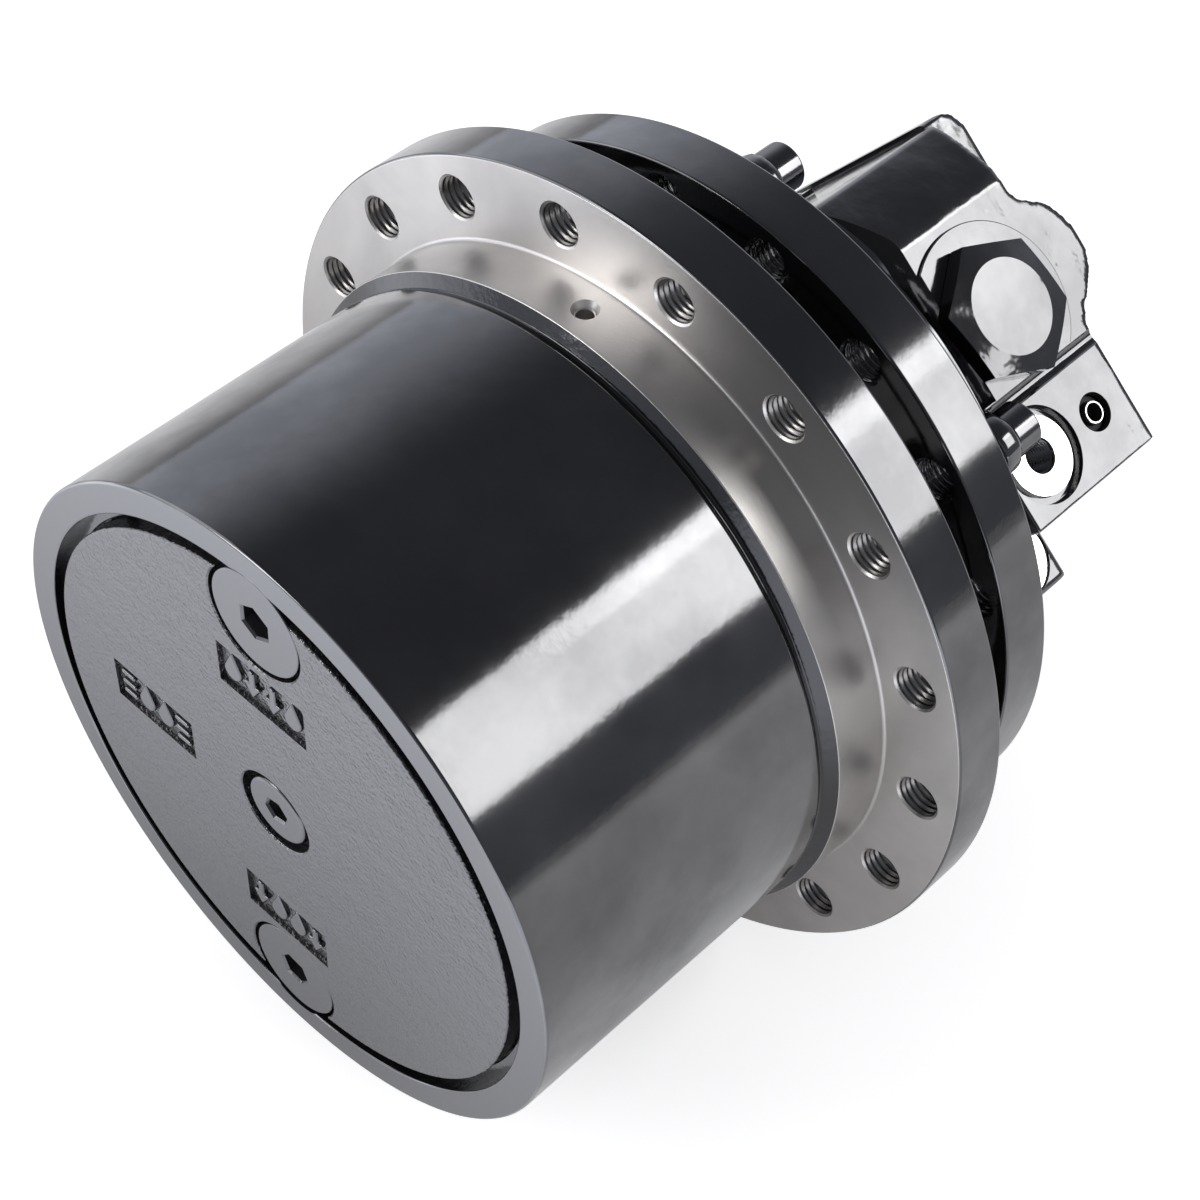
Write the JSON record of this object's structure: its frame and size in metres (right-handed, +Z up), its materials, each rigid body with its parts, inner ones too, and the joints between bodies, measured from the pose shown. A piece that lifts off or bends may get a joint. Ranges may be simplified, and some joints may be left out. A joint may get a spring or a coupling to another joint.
{
  "type": "excavator final drive",
  "caption": "Travel drive with a turning drum and sprocket flange, a fixed spindle with a frame flange, planetary gears, face seal, brake and axial piston motor.",
  "frame": {"origin": "centre of the frame flange's mounting face, on the drive axis", "axes": "+Y along the drive axis from the drum to the motor, +Z up through the fill plug"},
  "size_m": [0.28, 0.2965, 0.28],
  "materials": {
    "gloss_paint": "gloss",
    "cast_paint": "semi-gloss over a cast surface",
    "machined_steel": "satin",
    "gear_steel": "ground",
    "iron": "machined",
    "bronze": "machined",
    "friction": "pressed",
    "rubber": "matt"
  },
  "bodies": {
    "fixed_body": {"spindle": "gloss_paint", "motor_case": "cast_paint", "rear_cover": "cast_paint", "case_screw_1": "machined_steel", "case_screw_2": "machined_steel", "case_screw_3": "machined_steel", "case_screw_4": "machined_steel", "valve_cap_a": "gloss_paint", "valve_cap_b": "gloss_paint", "gauge_plug": "machined_steel", "data_plate": "machined_steel", "swash_plate": "iron", "valve_plate": "bronze", "shaft_bearing": "machined_steel", "front_bearing_inner_race": "machined_steel", "rear_bearing_inner_race": "machined_steel", "bearing_nut": "machined_steel", "spindle_seal_ring": "machined_steel", "spindle_seal_o_ring": "rubber", "planet_thrust_plate": "gear_steel", "brake_plate_1": "machined_steel", "brake_spring": "machined_steel"},
    "hub": {"hub_housing": "gloss_paint", "end_cover": "cast_paint", "cover_retaining_ring": "machined_steel", "level_plug": "machined_steel", "fill_plug": "machined_steel", "drain_plug": "machined_steel", "front_bearing_outer_race": "machined_steel", "rear_bearing_outer_race": "machined_steel", "hub_seal_ring": "machined_steel", "hub_seal_o_ring": "rubber"},
    "front_ball_row": {"front_bearing_ball_row": "bronze"},
    "rear_ball_row": {"rear_bearing_ball_row": "bronze"},
    "first_carrier": {"carrier_1": "iron", "planet_pin_1a": "gear_steel", "planet_pin_1b": "gear_steel", "planet_pin_1c": "gear_steel", "sun_gear_2": "gear_steel"},
    "rotor": {"sun_gear_1": "gear_steel", "motor_shaft": "machined_steel", "cylinder_block": "iron", "brake_disc_1": "friction", "piston_1": "machined_steel", "piston_2": "machined_steel", "piston_3": "machined_steel", "piston_4": "machined_steel", "piston_5": "machined_steel", "piston_6": "machined_steel", "piston_7": "machined_steel"},
    "shoes": {"shoe_plate": "bronze"},
    "brake_release": {"brake_piston": "machined_steel"},
    "spool": {"counterbalance_spool": "machined_steel"},
    "planet_1a": {"planet_1a": "gear_steel"},
    "planet_2a": {"planet_2a": "gear_steel"},
    "planet_1b": {"planet_1b": "gear_steel"},
    "planet_2b": {"planet_2b": "gear_steel"},
    "planet_1c": {"planet_1c": "gear_steel"},
    "planet_2c": {"planet_2c": "gear_steel"}
  },
  "joints": [
    {"name": "hub_spin", "type": "hinge", "parent": "fixed_body", "child": "hub", "pos_m": [0, -0.1, 0], "axis": [0, 1, 0], "continuous": true},
    {"name": "front_ball_row_spin", "type": "hinge", "parent": "fixed_body", "child": "front_ball_row", "pos_m": [0, -0.085, 0], "axis": [0, 1, 0], "continuous": true},
    {"name": "rear_ball_row_spin", "type": "hinge", "parent": "fixed_body", "child": "rear_ball_row", "pos_m": [0, -0.05, 0], "axis": [0, 1, 0], "continuous": true},
    {"name": "first_carrier_spin", "type": "hinge", "parent": "fixed_body", "child": "first_carrier", "pos_m": [0, -0.15, 0], "axis": [0, 1, 0], "continuous": true},
    {"name": "rotor_spin", "type": "hinge", "parent": "fixed_body", "child": "rotor", "pos_m": [0, -0.1, 0], "axis": [0, 1, 0], "continuous": true},
    {"name": "shoe_spin", "type": "hinge", "parent": "fixed_body", "child": "shoes", "pos_m": [0, -0.0329, 0], "axis": [0, 0.9962, 0.0872], "continuous": true},
    {"name": "planet_1a_spin", "type": "hinge", "parent": "first_carrier", "child": "planet_1a", "pos_m": [0, -0.16, 0.054], "axis": [0, 1, 0], "continuous": true},
    {"name": "planet_2a_spin", "type": "hinge", "parent": "fixed_body", "child": "planet_2a", "pos_m": [0, -0.12, 0.0585], "axis": [0, 1, 0], "continuous": true},
    {"name": "planet_1b_spin", "type": "hinge", "parent": "first_carrier", "child": "planet_1b", "pos_m": [-0.04677, -0.16, -0.027], "axis": [0, 1, 0], "continuous": true},
    {"name": "planet_2b_spin", "type": "hinge", "parent": "fixed_body", "child": "planet_2b", "pos_m": [-0.05066, -0.12, -0.02925], "axis": [0, 1, 0], "continuous": true},
    {"name": "planet_1c_spin", "type": "hinge", "parent": "first_carrier", "child": "planet_1c", "pos_m": [0.04677, -0.16, -0.027], "axis": [0, 1, 0], "continuous": true},
    {"name": "planet_2c_spin", "type": "hinge", "parent": "fixed_body", "child": "planet_2c", "pos_m": [0.05066, -0.12, -0.02925], "axis": [0, 1, 0], "continuous": true},
    {"name": "brake_release_slide", "type": "slide", "parent": "fixed_body", "child": "brake_release", "axis": [0, 1, 0], "range_m": [0, 0.0015], "stiffness_N_per_m": 20000, "deforming": ["brake_spring"]},
    {"name": "spool_slide", "type": "slide", "parent": "fixed_body", "child": "spool", "axis": [0.6428, 0, 0.766], "range_m": [-0.004, 0.004], "stiffness_N_per_m": 5000}
  ],
  "couplings": [
    {"joint": "front_ball_row_spin", "follows": "hub_spin", "ratio": 0.53},
    {"joint": "rear_ball_row_spin", "follows": "hub_spin", "ratio": 0.53},
    {"joint": "first_carrier_spin", "follows": "hub_spin", "ratio": -3.3333},
    {"joint": "rotor_spin", "follows": "hub_spin", "ratio": -25},
    {"joint": "shoe_spin", "follows": "hub_spin", "ratio": -25},
    {"joint": "planet_1a_spin", "follows": "hub_spin", "ratio": 10.833},
    {"joint": "planet_2a_spin", "follows": "hub_spin", "ratio": 2.8571},
    {"joint": "planet_1b_spin", "follows": "hub_spin", "ratio": 10.833},
    {"joint": "planet_2b_spin", "follows": "hub_spin", "ratio": 2.8571},
    {"joint": "planet_1c_spin", "follows": "hub_spin", "ratio": 10.833},
    {"joint": "planet_2c_spin", "follows": "hub_spin", "ratio": 2.8571}
  ]
}
